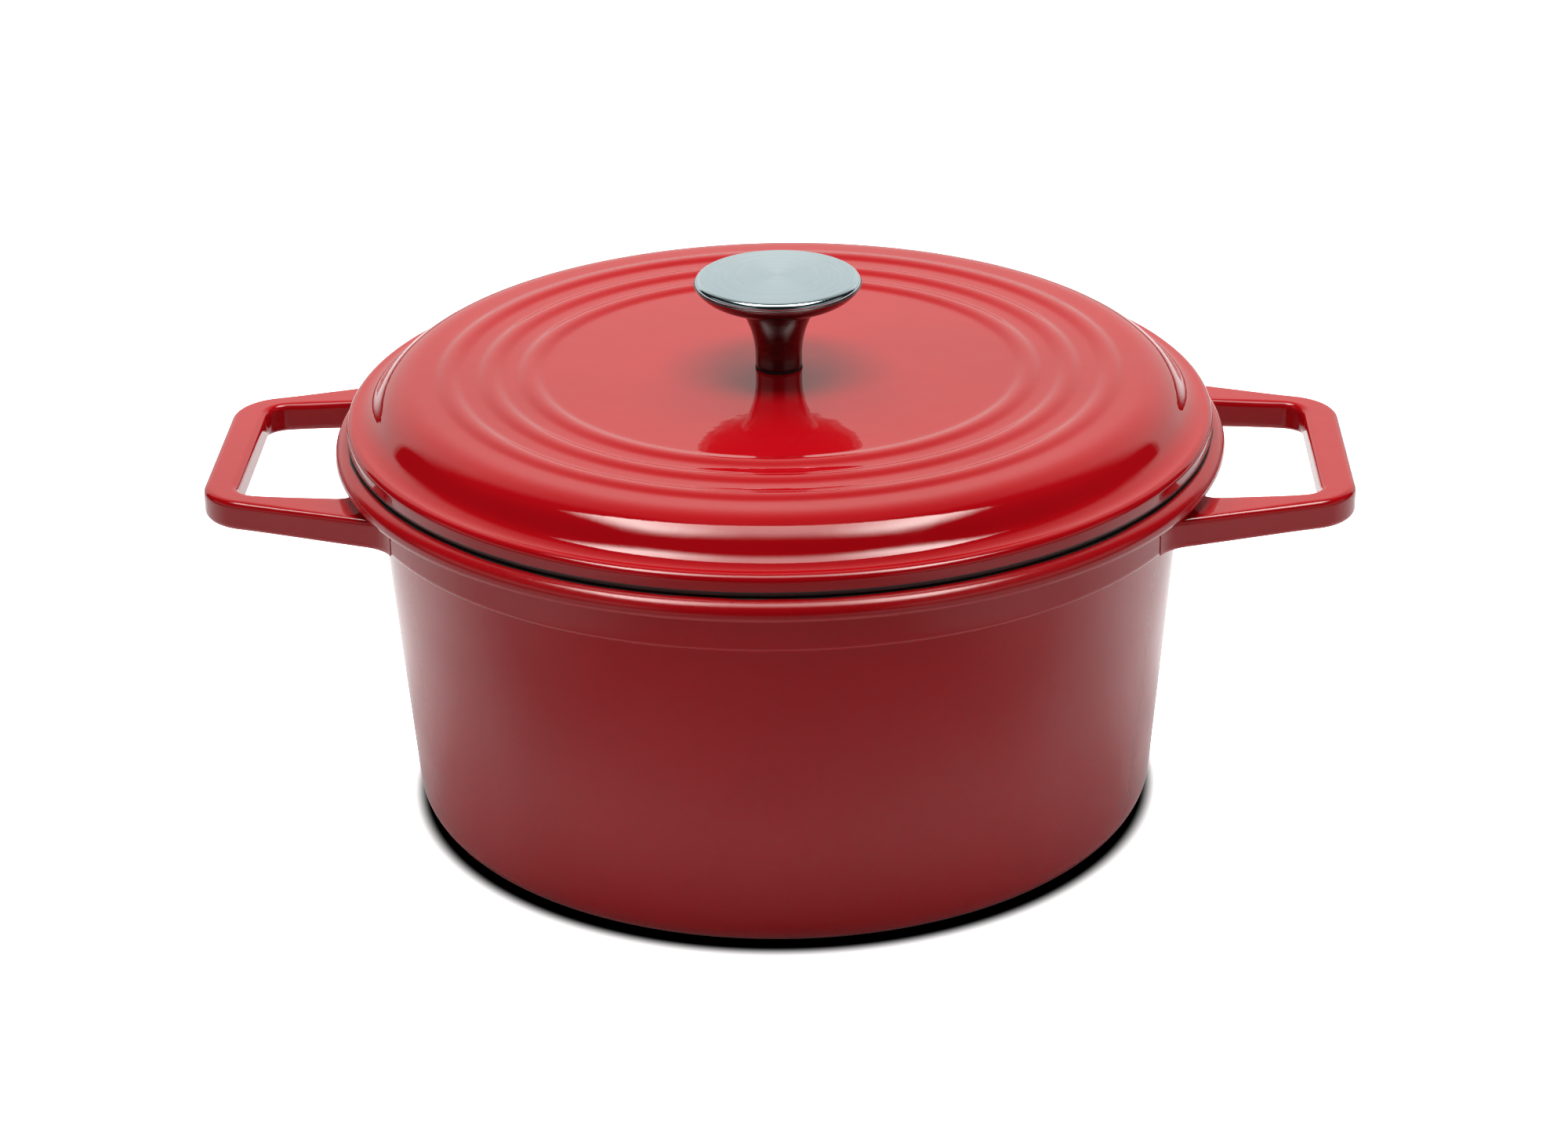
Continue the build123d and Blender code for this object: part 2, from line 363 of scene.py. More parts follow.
def pot_shell():
    """The turned part of the pot, from the recess in its base to its rim and inside."""
    section = (
        (0.0, BASE_RECESS, 0.0),
        (RECESS_RADIUS, BASE_RECESS, RECESS_ROUNDING),
        (RECESS_RADIUS + RECESS_SLOPE, 0.0, BASE_RING_ROUNDING),
        (BASE_RADIUS, 0.0, BASE_ROUNDING),
        (WALL_TOP_RADIUS, COLLAR_BOTTOM, COLLAR_FILLET),
        (COLLAR_RADIUS, COLLAR_BOTTOM, COLLAR_EDGE_ROUNDING),
        (COLLAR_RADIUS, COLLAR_TOP, LIP_FILLET),
        (LIP_RADIUS, COLLAR_TOP, LIP_EDGE_ROUNDING),
        (RIM_RADIUS, LIP_CORNER_HEIGHT, LIP_CORNER_ROUNDING),
        (RIM_RADIUS, RIM_TOP, RIM_ROUNDING),
        (wall_radius(RIM_TOP) - WALL, RIM_TOP, MOUTH_ROUNDING),
        (wall_radius(FLOOR_TOP) - WALL, FLOOR_TOP, FLOOR_ROUNDING),
        (0.0, FLOOR_TOP, 0.0),
    )
    shell = lathe("pot_shell", rounded(section), CASTING_SEGMENTS)
    settle(shell, seed=1)
    return shell


def root_centre(end, half_width, spread, bend, side):
    """Centre of the arc that blends one straight side of a loop into the collar, in plan."""
    along = Vector((-math.cos(spread), -math.sin(spread)))
    across = Vector((math.sin(spread), -math.cos(spread))) * side
    start = Vector((end, -half_width)) + across * bend
    middle = start.dot(along)
    reach = -middle - math.sqrt(middle**2 - start.length_squared + (COLLAR_RADIUS + bend) ** 2)
    return start + along * reach, across


def plan_arc(centre, start, end, bend, count):
    """Points of an arc about a centre, the short way between two directions."""
    return swept(centre, start.normalized() * bend, start.angle_signed(end), count)


def half_edge(end, half_width, spread_degrees, corner, bend, side):
    """One edge of a loop in plan, from its front root on the collar to the middle of its end."""
    spread = math.radians(spread_degrees)
    centre, across = root_centre(end, half_width, spread, bend, side)
    points = plan_arc(centre, -centre, -across, bend, ROOT_STEPS)
    reach = corner * math.tan((math.pi / 2 - spread) / 2)
    along = Vector((-math.cos(spread), -math.sin(spread)))
    corner_start = Vector((end, -half_width)) + along * reach
    corner_centre = Vector((end - corner, -half_width + reach))
    side_start = points[-1]
    points.extend(side_start.lerp(corner_start, step / SIDE_STEPS) for step in range(1, SIDE_STEPS))
    spoke = corner_start - corner_centre
    points.extend(plan_arc(corner_centre, spoke, Vector((1, 0)), corner, CORNER_STEPS))
    end_start = points[-1]
    middle = Vector((end, 0))
    points.extend(end_start.lerp(middle, step / END_STEPS) for step in range(1, END_STEPS + 1))
    return points


def loop_section(outer, inner):
    """Section of a loop between its outer and inner edge: four rounded corners, divided flats."""
    width = (inner - outer).length
    low, high = HANDLE_BOTTOM_ROUNDING, HANDLE_TOP_ROUNDING
    corners = (
        (low, COLLAR_BOTTOM + low, low, 270),
        (high, HANDLE_TOP - high, high, 180),
        (width - high, HANDLE_TOP - high, high, 90),
        (width - low, COLLAR_BOTTOM + low, low, 0),
    )
    arcs = []
    for x, y, bend, start in corners:
        angles = [math.radians(start - 90 * step / ROUNDING_STEPS) for step in range(ROUNDING_STEPS + 1)]
        arcs.append([Vector((x + bend * math.cos(angle), y + bend * math.sin(angle))) for angle in angles])
    divided = []
    for arc, following in zip(arcs, arcs[1:] + arcs[:1]):
        divided.extend(arc)
        divided.extend(arc[-1].lerp(following[0], step / FLAT_STEPS) for step in range(1, FLAT_STEPS))
    along = (inner - outer) / width
    return [(*(outer + along * point.x), point.y) for point in divided]


def loop_handle(name, turn):
    """One loop handle, lofted round its plan, its two roots buried in the collar."""
    outer = half_edge(HANDLE_END, HANDLE_HALF_WIDTH, HANDLE_SPREAD, HANDLE_CORNER, ROOT_ROUNDING, 1)
    inner = half_edge(GRIP_END, GRIP_HALF_WIDTH, GRIP_SPREAD, GRIP_CORNER, GRIP_ROOT_ROUNDING, -1)
    rows = [loop_section(a, b) for a, b in zip(outer, inner)]
    rows.extend([[(x, -y, z) for x, y, z in row] for row in reversed(rows[:-1])])
    made = skinned(name, rows)
    made.data.transform(Matrix.Rotation(turn, 4, "Z"))
    return made


def lid_top():
    """The upper outline of the lid: plate with three raised rings, shoulder, brim and edge."""
    top = Outline(SCREW_HOLE, LID_TOP)
    half_ring = (RING_FOOT + RING_CREST) * math.sin(math.radians(RING_SLOPE))
    reached = SCREW_HOLE
    for radius in RING_RADII:
        top.run(radius - half_ring - reached)
        top.arc(RING_FOOT, RING_SLOPE).arc(RING_CREST, -2 * RING_SLOPE).arc(RING_FOOT, RING_SLOPE)
        reached = radius + half_ring
    top.run(SHOULDER_FLAT).arc(SHOULDER_ARC, -SHOULDER_TURN).run(SHOULDER_FALL)
    top.arc(BRIM_ARC, SHOULDER_TURN).run(BRIM_FLAT).arc(EDGE_TOP_ROUNDING, -90)
    return top.points


def lid_casting():
    """The lid, with its seat, locating ring and hollow below."""
    top = lid_top()
    edge_radius, edge_height = top[-1]
    below = rounded(
        (
            (edge_radius, edge_height, 0.0),
            (edge_radius, RIM_TOP, EDGE_BOTTOM_ROUNDING),
            (LOCATOR_OUTER, RIM_TOP, SEAT_FILLET),
            (LOCATOR_TIP_OUTER, LOCATOR_BOTTOM, TIP_OUTER_ROUNDING),
            (LOCATOR_TIP_INNER, LOCATOR_BOTTOM, TIP_INNER_ROUNDING),
            (HOLLOW_RADIUS, LID_UNDERSIDE, HOLLOW_ROUNDING),
            (SCREW_HOLE, LID_UNDERSIDE, HOLE_ROUNDING),
            (SCREW_HOLE, LID_TOP, 0.0),
        )
    )
    casting = lathe("lid_casting", top + below[1:-1], CASTING_SEGMENTS)
    settle(casting, seed=2)
    return casting


def knob_inside(*corners):
    """The inner outline of a knob piece, from corners whose heights count from the lid's top."""
    raised = [(radius, LID_TOP + height, bend) for radius, height, bend in corners]
    return rounded(raised, spacing=KNOB_INSIDE_SPACING)


def knob_shell():
    """The flared lower shell of the knob, from its foot to the seam under the cap."""
    outside = Outline(STEM_RADIUS, LID_TOP + STEM_FOOT, 90, KNOB_SPACING)
    outside.run(STEM_STRAIGHT).arc(FLARE_ARC, -FLARE_TURN)
    bowl = Outline(*outside.points[-1], BOWL_START_DEGREES, KNOB_SPACING)
    for bend, degrees in BOWL_ARCS:
        bowl.arc(bend, degrees)
    inside = knob_inside(
        (BOWL_TOP_RADIUS, SEAM, 0.0),
        (CAP_INNER_RADIUS, SEAM, SEAM_ROUNDING),
        *BOWL_INSIDE,
        (POCKET_RADIUS, POCKET_TOP, 0.0),
        (POCKET_RADIUS, POCKET_BOTTOM, 0.0),
        (STEM_BORE, POCKET_BOTTOM, 0.0),
        (STEM_BORE, STEM_BOTTOM, STEM_BORE_ROUNDING),
        (STEM_BOTTOM_RADIUS, STEM_BOTTOM, 0.0),
    )
    return lathe("knob_shell", outside.points + bowl.points[1:] + inside, KNOB_SEGMENTS)


def knob_plate():
    """The knob's round top plate: slightly domed, its edge rolled over."""
    top = Outline(0.0, LID_TOP + CAP_CROWN, 0, CAP_SPACING)
    top.arc(CAP_DOME_ARC, -CAP_DOME_TURN).arc(CAP_EDGE_ROUNDING, CAP_DOME_TURN - 90)
    inside = knob_inside(
        (CAP_SIDE_RADIUS, CAP_SIDE_BOTTOM, 0.0),
        (CAP_SKIRT_RADIUS, SEAM, CAP_SKIRT_ROUNDING),
        (CAP_INNER_RADIUS, SEAM, SEAM_ROUNDING),
        (CAP_INNER_RADIUS, CAP_INNER_EDGE, CAP_INNER_ROUNDING),
        (0.0, CAP_INNER_TOP, 0.0),
    )
    return lathe("knob_plate", top.points + inside[1:], KNOB_SEGMENTS)


def ring_section(bottom, ring, spacing):
    """Section of a flat ring with slightly broken edges."""
    inner, outer, thickness, edge = ring
    top = bottom + thickness
    corners = ((inner, bottom, edge), (outer, bottom, edge), (outer, top, edge), (inner, top, edge))
    return rounded(corners, closed=True, spacing=spacing)


def washer(name, bottom, ring):
    """A flat ring that lies at that height."""
    return lathe(name, ring_section(bottom, ring, WASHER_SPACING), RING_SEGMENTS)


def spring_washer():
    """The split lock washer: a square wire bent round, its two ends a little apart."""
    section = ring_section(SCREW_SEAT, LOCK_WASHER, LOCK_SPACING)
    rows = []
    for step in range(LOCK_SEGMENTS + 1):
        angle = math.radians(LOCK_GAP_DEGREES + (360 - 2 * LOCK_GAP_DEGREES) * step / LOCK_SEGMENTS)
        rows.append([polar(radius, angle, height) for radius, height in section])
    return skinned("spring_washer", rows)


def thread_radius(height, turned):
    """Radius of the thread at a height and at that part of a turn round it."""
    phase = (height / THREAD_PITCH - turned) % 1.0
    groove = 1.0 - abs(2.0 * phase - 1.0)
    groove = min(max((groove - THREAD_FLAT) / THREAD_FLANKS, 0.0), 1.0)
    run_out = 1.0 - min(1.0, (SHANK_TIP - height) / THREAD_RUN_OUT)
    return THREAD_CREST - THREAD_DEPTH * groove - THREAD_RUN_OUT_DEPTH * run_out


def screw_thread():
    """The threaded shank as one closed solid: its crest runs round and up at the pitch."""
    length = SHANK_TIP - SCREW_SEAT
    count = math.ceil(length / (THREAD_PITCH / THREAD_ROWS_PER_TURN))
    rows = []
    for index in range(count + 1):
        height = SCREW_SEAT + length * index / count
        turns = [step / THREAD_SEGMENTS for step in range(THREAD_SEGMENTS)]
        rows.append([polar(thread_radius(height, turn), 2 * math.pi * turn, height) for turn in turns])
    return skinned("screw_thread", rows)


def cross_recess(face):
    """The tapered cross that is cut up into the screw's head, whose face is at that height."""
    made = bmesh.new()
    for turn in (0.0, math.pi / 2):
        rings = []
        for half_length, half_width, height in (CROSS_MOUTH, CROSS_TIP):
            ring = []
            for x, y in ((-1, -1), (1, -1), (1, 1), (-1, 1)):
                corner = Vector((x * half_length, y * half_width, face + height))
                corner.rotate(Matrix.Rotation(turn, 3, "Z"))
                ring.append(made.verts.new(corner * MM))
            rings.append(ring)
        mouth, tip = rings
        made.faces.new(reversed(mouth))
        made.faces.new(tip)
        for step in range(4):
            ahead = (step + 1) % 4
            made.faces.new((mouth[step], mouth[ahead], tip[ahead], tip[step]))
    mesh = bpy.data.meshes.new("recess")
    made.to_mesh(mesh)
    made.free()
    cutter = bpy.data.objects.new("recess", mesh)
    bpy.context.scene.collection.objects.link(cutter)
    return cutter


def cut(piece, cutter):
    """Cuts one solid out of another for good and removes the cutter."""
    change = piece.modifiers.new("cut", "BOOLEAN")
    change.operation = "DIFFERENCE"
    change.solver = "EXACT"
    change.use_self = True
    change.object = cutter
    depsgraph = bpy.context.evaluated_depsgraph_get()
    mesh = bpy.data.meshes.new_from_object(piece.evaluated_get(depsgraph))
    piece.modifiers.clear()
    piece.data = mesh
    bpy.data.objects.remove(cutter)


def screw_head():
    """The pan head, facing down, with its cross recess."""
    face = SCREW_SEAT - HEAD_HEIGHT
    corners = (
        (0.0, face, 0.0),
        (HEAD_RADIUS, face, HEAD_ROUNDING),
        (HEAD_RADIUS, SCREW_SEAT, HEAD_EDGE_ROUNDING),
        (HEAD_NECK_RADIUS, SCREW_SEAT, 0.0),
        (0.0, SCREW_SEAT + HEAD_NECK_HEIGHT, 0.0),
    )
    head = lathe("screw_head", rounded(corners, closed=True, spacing=HEAD_SPACING), RING_SEGMENTS)
    cut(head, cross_recess(face))
    head.data.shade_smooth()
    head.data.set_sharp_from_angle(angle=math.radians(HEAD_SHARP_DEGREES))
    return head


class Nodes:
    """A short way to write a material's node tree."""

    def __init__(self, name):
        self.material = bpy.data.materials.new(name)
        self.material.use_nodes = True
        self.tree = self.material.node_tree
        self.tree.nodes.clear()
        self.shader = self.add("ShaderNodeBsdfPrincipled")
        output = self.add("ShaderNodeOutputMaterial")
        self.link(self.shader.outputs["BSDF"], output.inputs["Surface"])
        self.place = self.add("ShaderNodeTexCoord").outputs["Object"]

    def add(self, kind, **values):
        node = self.tree.nodes.new(kind)
        for key, value in values.items():
            setattr(node, key, value)
        return node

    def link(self, output, target):
        self.tree.links.new(output, target)

    def feed(self, target, value):
        """Links an output into a socket, or sets a plain value on it."""
        if isinstance(value, bpy.types.NodeSocket):
            self.link(value, target)
        else:
            target.default_value = value

    def noise(self, scale, detail=2.0, roughness=0.5, place=None):
        """Cloudy noise from 0 to 1, with that many swells to the metre."""
        node = self.add("ShaderNodeTexNoise")
        self.link(place or self.place, node.inputs["Vector"])
        node.inputs["Scale"].default_value = scale
        node.inputs["Detail"].default_value = detail
        node.inputs["Roughness"].default_value = roughness
        return node.outputs["Fac"]

    def math(self, operation, first, second=0.0):
        node = self.add("ShaderNodeMath", operation=operation)
        self.feed(node.inputs[0], first)
        self.feed(node.inputs[1], second)
        return node.outputs[0]

    def times(self, product, *factors):
        """The product of all the values."""
        for factor in factors:
            product = self.math("MULTIPLY", product, factor)
        return product

    def between(self, value, low, high, out_low=0.0, out_high=1.0):
        """Maps low..high onto out_low..out_high, smoothly and clamped."""
        node = self.add("ShaderNodeMapRange", interpolation_type="SMOOTHSTEP")
        self.feed(node.inputs["Value"], value)
        names = ("From Min", "From Max", "To Min", "To Max")
        for name, number in zip(names, (low, high, out_low, out_high)):
            self.feed(node.inputs[name], number)
        return node.outputs["Result"]

    def falling(self, value, low, high):
        """1 up to the low value and 0 from the high one on, smoothly."""
        return self.between(value, low, high, 1.0, 0.0)

    def length(self, first, second):
        """Length of the vector that has these two sides."""
        return self.math("SQRT", self.math("ADD", self.times(first, first), self.times(second, second)))

    def axes(self):
        """The three coordinates of the place."""
        split = self.add("ShaderNodeSeparateXYZ")
        self.link(self.place, split.inputs["Vector"])
        return split.outputs

    def radius_and_height(self):
        """Distance from the Z axis and height, both in metres."""
        x, y, z = self.axes()
        return self.length(x, y), z

    def turn(self, x, y):
        """Angle from the back of the oven, alike on the left and on the right."""
        return self.math("ABSOLUTE", self.math("ARCTAN2", x, y))

    def grey(self, value):
        node = self.add("ShaderNodeCombineColor")
        for channel in ("Red", "Green", "Blue"):
            self.link(value, node.inputs[channel])
        return node.outputs["Color"]

    def mixer(self, kind, amount, first, second):
        node = self.add("ShaderNodeMix", data_type=kind)
        self.feed(node.inputs["Factor"], amount)
        self.feed(node.inputs["A"], first)
        self.feed(node.inputs["B"], second)
        return node.outputs["Result"]

    def mix(self, amount, first, second):
        """Goes from the first colour to the second as the amount goes from 0 to 1."""
        return self.mixer("RGBA", amount, first, second)

    def blend(self, amount, first, second):
        """Goes from the first number to the second as the amount goes from 0 to 1."""
        return self.mixer("FLOAT", amount, first, second)

    def stretched(self, scale):
        """Object coordinates stretched along each axis."""
        node = self.add("ShaderNodeMapping")
        self.link(self.place, node.inputs["Vector"])
        node.inputs["Scale"].default_value = scale
        return node.outputs["Vector"]

    def bump(self, height, distance, strength, below=None):
        """A bump that many metres deep, on top of another one if it is given."""
        node = self.add("ShaderNodeBump")
        node.inputs["Strength"].default_value = strength
        node.inputs["Distance"].default_value = distance
        self.link(height, node.inputs["Height"])
        if below is not None:
            self.link(below, node.inputs["Normal"])
        return node.outputs["Normal"]

    def set(self, **values):
        """Feeds the shader's sockets, whose names have underscores here for their spaces."""
        for name, value in values.items():
            self.feed(self.shader.inputs[name.replace("_", " ")], value)


WHITE = (1.0, 1.0, 1.0, 1.0)
RED = (0.40, 0.0028, 0.0065, 1.0)
DEEP_RED = (0.36, 0.002, 0.005, 1.0)
CREAM = (0.76, 0.66, 0.50, 1.0)
DEEP_CREAM = (0.70, 0.60, 0.45, 1.0)
SPECK = (0.35, 0.27, 0.18, 1.0)
GROUND_COAT = (0.018, 0.013, 0.012, 1.0)
ENAMEL_IOR = 1.62

# Where the finishes meet, in metres. Each is the start and the end of a smooth step
WAVER = 0.0022
BOWL_SIDE = 0.1024
BOWL_FLOOR = 0.015
BOWL_EDGE = (0.0121, 0.0122)
SEAT_INNER_EDGE = (0.1256, 0.1260)
SEAT_OUTER_EDGE = (0.1338, 0.1342)
SEAT_HEIGHT = (0.1216, 0.1220)
BASE_HEIGHT = (0.0009, 0.0013)
RIM_SATIN_INNER = (0.1318, 0.1326)
RIM_SATIN_OUTER = (0.1380, 0.1384)
RIM_SATIN_HEIGHT = (0.1175, 0.1182)
LINING_RADIUS = (0.1176, 0.1180)
LINING_HEIGHT = (0.1377, 0.1381)
LID_SEAT_HEIGHT = (0.1246, 0.1250)
LID_SATIN_RADIUS = (0.1325, 0.1335)
LID_SATIN_HEIGHT = (0.1254, 0.1262)
CAP_ROLLED_RADIUS = (0.0234, 0.0242)


def enamel_colour(nodes, is_inside, is_bare):
    """Clouded red, speckled cream where it is inside, dark ground coat where it is bare."""
    cloud = nodes.noise(9.0, 3.0)
    red = nodes.mix(nodes.between(cloud, 0.35, 0.65), RED, DEEP_RED)
    lining = nodes.mix(nodes.between(cloud, 0.3, 0.7), CREAM, DEEP_CREAM)
    lining = nodes.mix(nodes.falling(nodes.noise(800.0, 1.0), 0.23, 0.27), lining, SPECK)
    return nodes.mix(is_bare, nodes.mix(is_inside, red, lining), GROUND_COAT)


def enamel_roughness(nodes, is_satin, is_bare):
    """Near mirror gloss, duller where it is satin and matt where it is bare."""
    gloss = nodes.between(nodes.noise(35.0, 3.0), 0.3, 0.7, 0.010, 0.028)
    dull = nodes.between(nodes.noise(600.0), 0.3, 0.7, 0.15, 0.20)
    matt = nodes.between(nodes.noise(90.0, 3.0), 0.3, 0.7, 0.34, 0.52)
    return nodes.blend(is_bare, nodes.blend(is_satin, gloss, dull), matt)


def enamel(name, inside, bare, satin):
    """Coloured glass on iron. The three functions say where it is inside, bare and satin."""
    nodes = Nodes(name)
    radius, height = nodes.radius_and_height()
    waver = nodes.times(nodes.math("SUBTRACT", nodes.noise(60.0), 0.5), WAVER)
    is_bare = bare(nodes, radius, height, waver)
    peel = nodes.bump(nodes.noise(260.0), 0.00003, 0.6)
    nodes.set(
        Base_Color=enamel_colour(nodes, inside(nodes, radius, height, waver), is_bare),
        Roughness=enamel_roughness(nodes, satin(nodes, radius, height), is_bare),
        IOR=ENAMEL_IOR,
        Normal=nodes.bump(nodes.noise(60.0), 0.00017, 0.5, peel),
    )
    return nodes.material


def pot_enamel():
    """Cream in the bowl, bare on the seat and the base, satin round the rim, and red elsewhere."""

    def inside(nodes, radius, height, waver):
        """Inside a round-cornered bowl that lies midway through the casting."""
        taper = (WALL_TOP_RADIUS - BASE_RADIUS) / COLLAR_BOTTOM
        level = nodes.math("SUBTRACT", radius, nodes.times(height, taper))
        outward = nodes.math("MAXIMUM", nodes.math("SUBTRACT", level, BOWL_SIDE), 0.0)
        downward = nodes.math("MAXIMUM", nodes.math("SUBTRACT", BOWL_FLOOR, height), 0.0)
        return nodes.falling(nodes.length(outward, downward), *BOWL_EDGE)

    def bare(nodes, radius, height, waver):
        """On the seat inside the rim, and under the base."""
        edge = nodes.math("ADD", radius, waver)
        across = nodes.times(nodes.between(edge, *SEAT_INNER_EDGE), nodes.falling(edge, *SEAT_OUTER_EDGE))
        seat = nodes.times(across, nodes.between(height, *SEAT_HEIGHT))
        under = nodes.math("ADD", height, nodes.times(waver, 0.3))
        return nodes.math("MAXIMUM", seat, nodes.falling(under, *BASE_HEIGHT))

    def satin(nodes, radius, height):
        """On the top and the outside of the rim."""
        across = nodes.times(nodes.between(radius, *RIM_SATIN_INNER), nodes.falling(radius, *RIM_SATIN_OUTER))
        return nodes.times(across, nodes.between(height, *RIM_SATIN_HEIGHT))

    return enamel("pot_enamel", inside, bare, satin)


def lid_enamel():
    """Cream in the hollow, bare on the seat, satin at the foot of the edge, and red elsewhere."""

    def inside(nodes, radius, height, waver):
        edge = nodes.math("ADD", radius, waver)
        return nodes.times(nodes.falling(edge, *LINING_RADIUS), nodes.falling(height, *LINING_HEIGHT))

    def bare(nodes, radius, height, waver):
        edge = nodes.math("ADD", radius, waver)
        return nodes.times(nodes.between(edge, *LINING_RADIUS), nodes.falling(height, *LID_SEAT_HEIGHT))

    def satin(nodes, radius, height):
        outer = nodes.between(radius, *LID_SATIN_RADIUS)
        return nodes.times(outer, nodes.falling(height, *LID_SATIN_HEIGHT))

    return enamel("lid_enamel", inside, bare, satin)


def ring_lines(nodes, radius, height):
    """Fine lines that run round the Z axis and drift a little, as brushing leaves them."""
    rings = nodes.add("ShaderNodeCombineXYZ")
    nodes.link(radius, rings.inputs["X"])
    nodes.link(nodes.times(height, 0.2), rings.inputs["Z"])
    drift = nodes.add("ShaderNodeVectorMath", operation="MULTIPLY")
    nodes.link(nodes.place, drift.inputs[0])
    drift.inputs[1].default_value = (0.012, 0.012, 0.012)
    joined = nodes.add("ShaderNodeVectorMath", operation="ADD")
    nodes.link(rings.outputs["Vector"], joined.inputs[0])
    nodes.link(drift.outputs["Vector"], joined.inputs[1])
    return nodes.noise(9000.0, 3.0, 0.6, joined.outputs["Vector"])


def spun_steel():
    """Stainless steel brushed in circles round the Z axis, smoother on its rolled edge."""
    nodes = Nodes("spun_steel")
    radius, height = nodes.radius_and_height()
    lines = ring_lines(nodes, radius, height)
    tone = nodes.between(lines, 0.3, 0.7)
    rolled = nodes.between(radius, *CAP_ROLLED_RADIUS)
    tangent = nodes.add("ShaderNodeTangent", direction_type="RADIAL", axis="Z")
    nodes.set(
        Base_Color=nodes.mix(tone, (0.57, 0.71, 0.775, 1.0), (0.70, 0.86, 0.93, 1.0)),
        Metallic=1.0,
        Roughness=nodes.blend(rolled, nodes.between(lines, 0.2, 0.8, 0.20, 0.28), 0.13),
        Anisotropic=0.7,
        Tangent=tangent.outputs["Tangent"],
        Normal=nodes.bump(lines, 0.000004, 0.25),
    )
    return nodes.material


def metal(name, dark, light, low, high, scale, stretch=(1.0, 1.0, 1.0), relief=0.00001):
    """A worked metal: tone from dark to light and roughness from low to high, by stretched noise."""
    nodes = Nodes(name)
    grain = nodes.noise(scale, 3.0, 0.6, nodes.stretched(stretch))
    nodes.set(
        Base_Color=nodes.mix(nodes.between(grain, 0.3, 0.7), (*dark, 1.0), (*light, 1.0)),
        Metallic=1.0,
        Roughness=nodes.between(grain, 0.25, 0.75, low, high),
        Normal=nodes.bump(grain, relief, 0.4),
    )
    return nodes.material


def polished_steel():
    """Dark polished stainless steel with faint marks round it, for the stem."""
    dark, light = (0.17, 0.155, 0.155), (0.23, 0.21, 0.21)
    return metal("polished_steel", dark, light, 0.20, 0.27, 160.0, (1.0, 1.0, 9.0), 0.000002)


def bright_steel():
    """Plain bright steel, for the screw and the insert."""
    return metal("bright_steel", (0.48, 0.48, 0.48), (0.64, 0.64, 0.65), 0.18, 0.32, 700.0)


def pressed_steel():
    """Duller steel, for the flat washer."""
    return metal("pressed_steel", (0.42, 0.42, 0.42), (0.60, 0.60, 0.60), 0.28, 0.42, 900.0)


def sprung_steel():
    """Dark hardened steel, for the lock washer."""
    return metal("sprung_steel", (0.20, 0.20, 0.21), (0.36, 0.36, 0.37), 0.25, 0.4, 1100.0)


def rubber():
    """Black rubber with a fine dull grain, for the gasket."""
    nodes = Nodes("gasket_rubber")
    grain = nodes.noise(900.0, 3.0)
    nodes.set(
        Base_Color=nodes.mix(grain, (0.004, 0.004, 0.005, 1.0), (0.012, 0.012, 0.013, 1.0)),
        Roughness=nodes.between(grain, 0.3, 0.7, 0.55, 0.75),
        Normal=nodes.bump(grain, 0.00003, 0.4),
    )
    return nodes.material


def dress(piece, material, body, node):
    """Gives a piece its material, the body it moves with and the node it stands for."""
    piece.data.materials.clear()
    piece.data.materials.append(material)
    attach(piece, body)
    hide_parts(node)


def build_pot():
    """The pot and its two loops, which are one casting."""
    red = pot_enamel()
    dress(pot_shell(), red, "pot", "pot_body")
    for name, turn in (("handle_right", 0.0), ("handle_left", math.pi)):
        dress(loop_handle(name, turn), red, "pot", "pot_body")


def build_lid_and_knob():
    """The lid, and the cap and the stem of its knob."""
    dress(lid_casting(), lid_enamel(), "lid", "lid")
    dress(knob_plate(), spun_steel(), "knob", "knob_cap")
    dress(knob_shell(), polished_steel(), "knob", "knob_stem")


def build_fasteners():
    """Gasket, washers, screw and insert, which hold the knob on the lid."""
    dress(washer("gasket", LID_TOP, GASKET), rubber(), "lid", "knob_gasket")
    flat = washer("washer", WASHER_BOTTOM, FLAT_WASHER)
    dress(flat, pressed_steel(), "lid", "flat_washer")
    dress(spring_washer(), sprung_steel(), "lid", "lock_washer")
    bright = bright_steel()
    for piece in (screw_head(), screw_thread()):
        dress(piece, bright, "screw", "knob_screw")
    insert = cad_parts["knob_insert"]
    insert.data.materials.clear()
    insert.data.materials.append(bright)


class WorldNodes(Nodes):
    """The same short way to write nodes, for a world that lights nothing matt."""

    def __init__(self):
        world = bpy.data.worlds.new("studio")
        bpy.context.scene.world = world
        world.use_nodes = True
        world.cycles_visibility.diffuse = False
        self.tree = world.node_tree
        self.tree.nodes.clear()
        self.place = self.add("ShaderNodeTexCoord").outputs["Generated"]


def white_sweep(nodes, turn, lift):
    """A white sweep behind. Its side edges are crisp low down and soft higher up."""
    fade_start = nodes.between(lift, 14 * DEGREE, 28 * DEGREE, 48 * DEGREE, 43 * DEGREE)
    fade_end = nodes.between(lift, 14 * DEGREE, 28 * DEGREE, 52 * DEGREE, 64 * DEGREE)
    upwards = nodes.between(lift, 18 * DEGREE, 70 * DEGREE, 1.0, 0.15)
    return nodes.times(nodes.falling(turn, fade_start, fade_end), upwards)


def strip_light(nodes, x, y, z):
    """A long softbox on a ceiling one unit up, dimmer in its middle."""
    above = nodes.math("MAXIMUM", z, 0.2)
    across = nodes.math("ABSOLUTE", nodes.math("DIVIDE", x, above))
    ahead = nodes.math("DIVIDE", y, above)
    return nodes.times(
        nodes.between(ahead, -0.66, -0.16),
        nodes.falling(ahead, 0.05, 0.11),
        nodes.falling(across, 0.42, 0.74),
        nodes.between(across, 0.08, 0.44, 4.5, 13.5),
    )


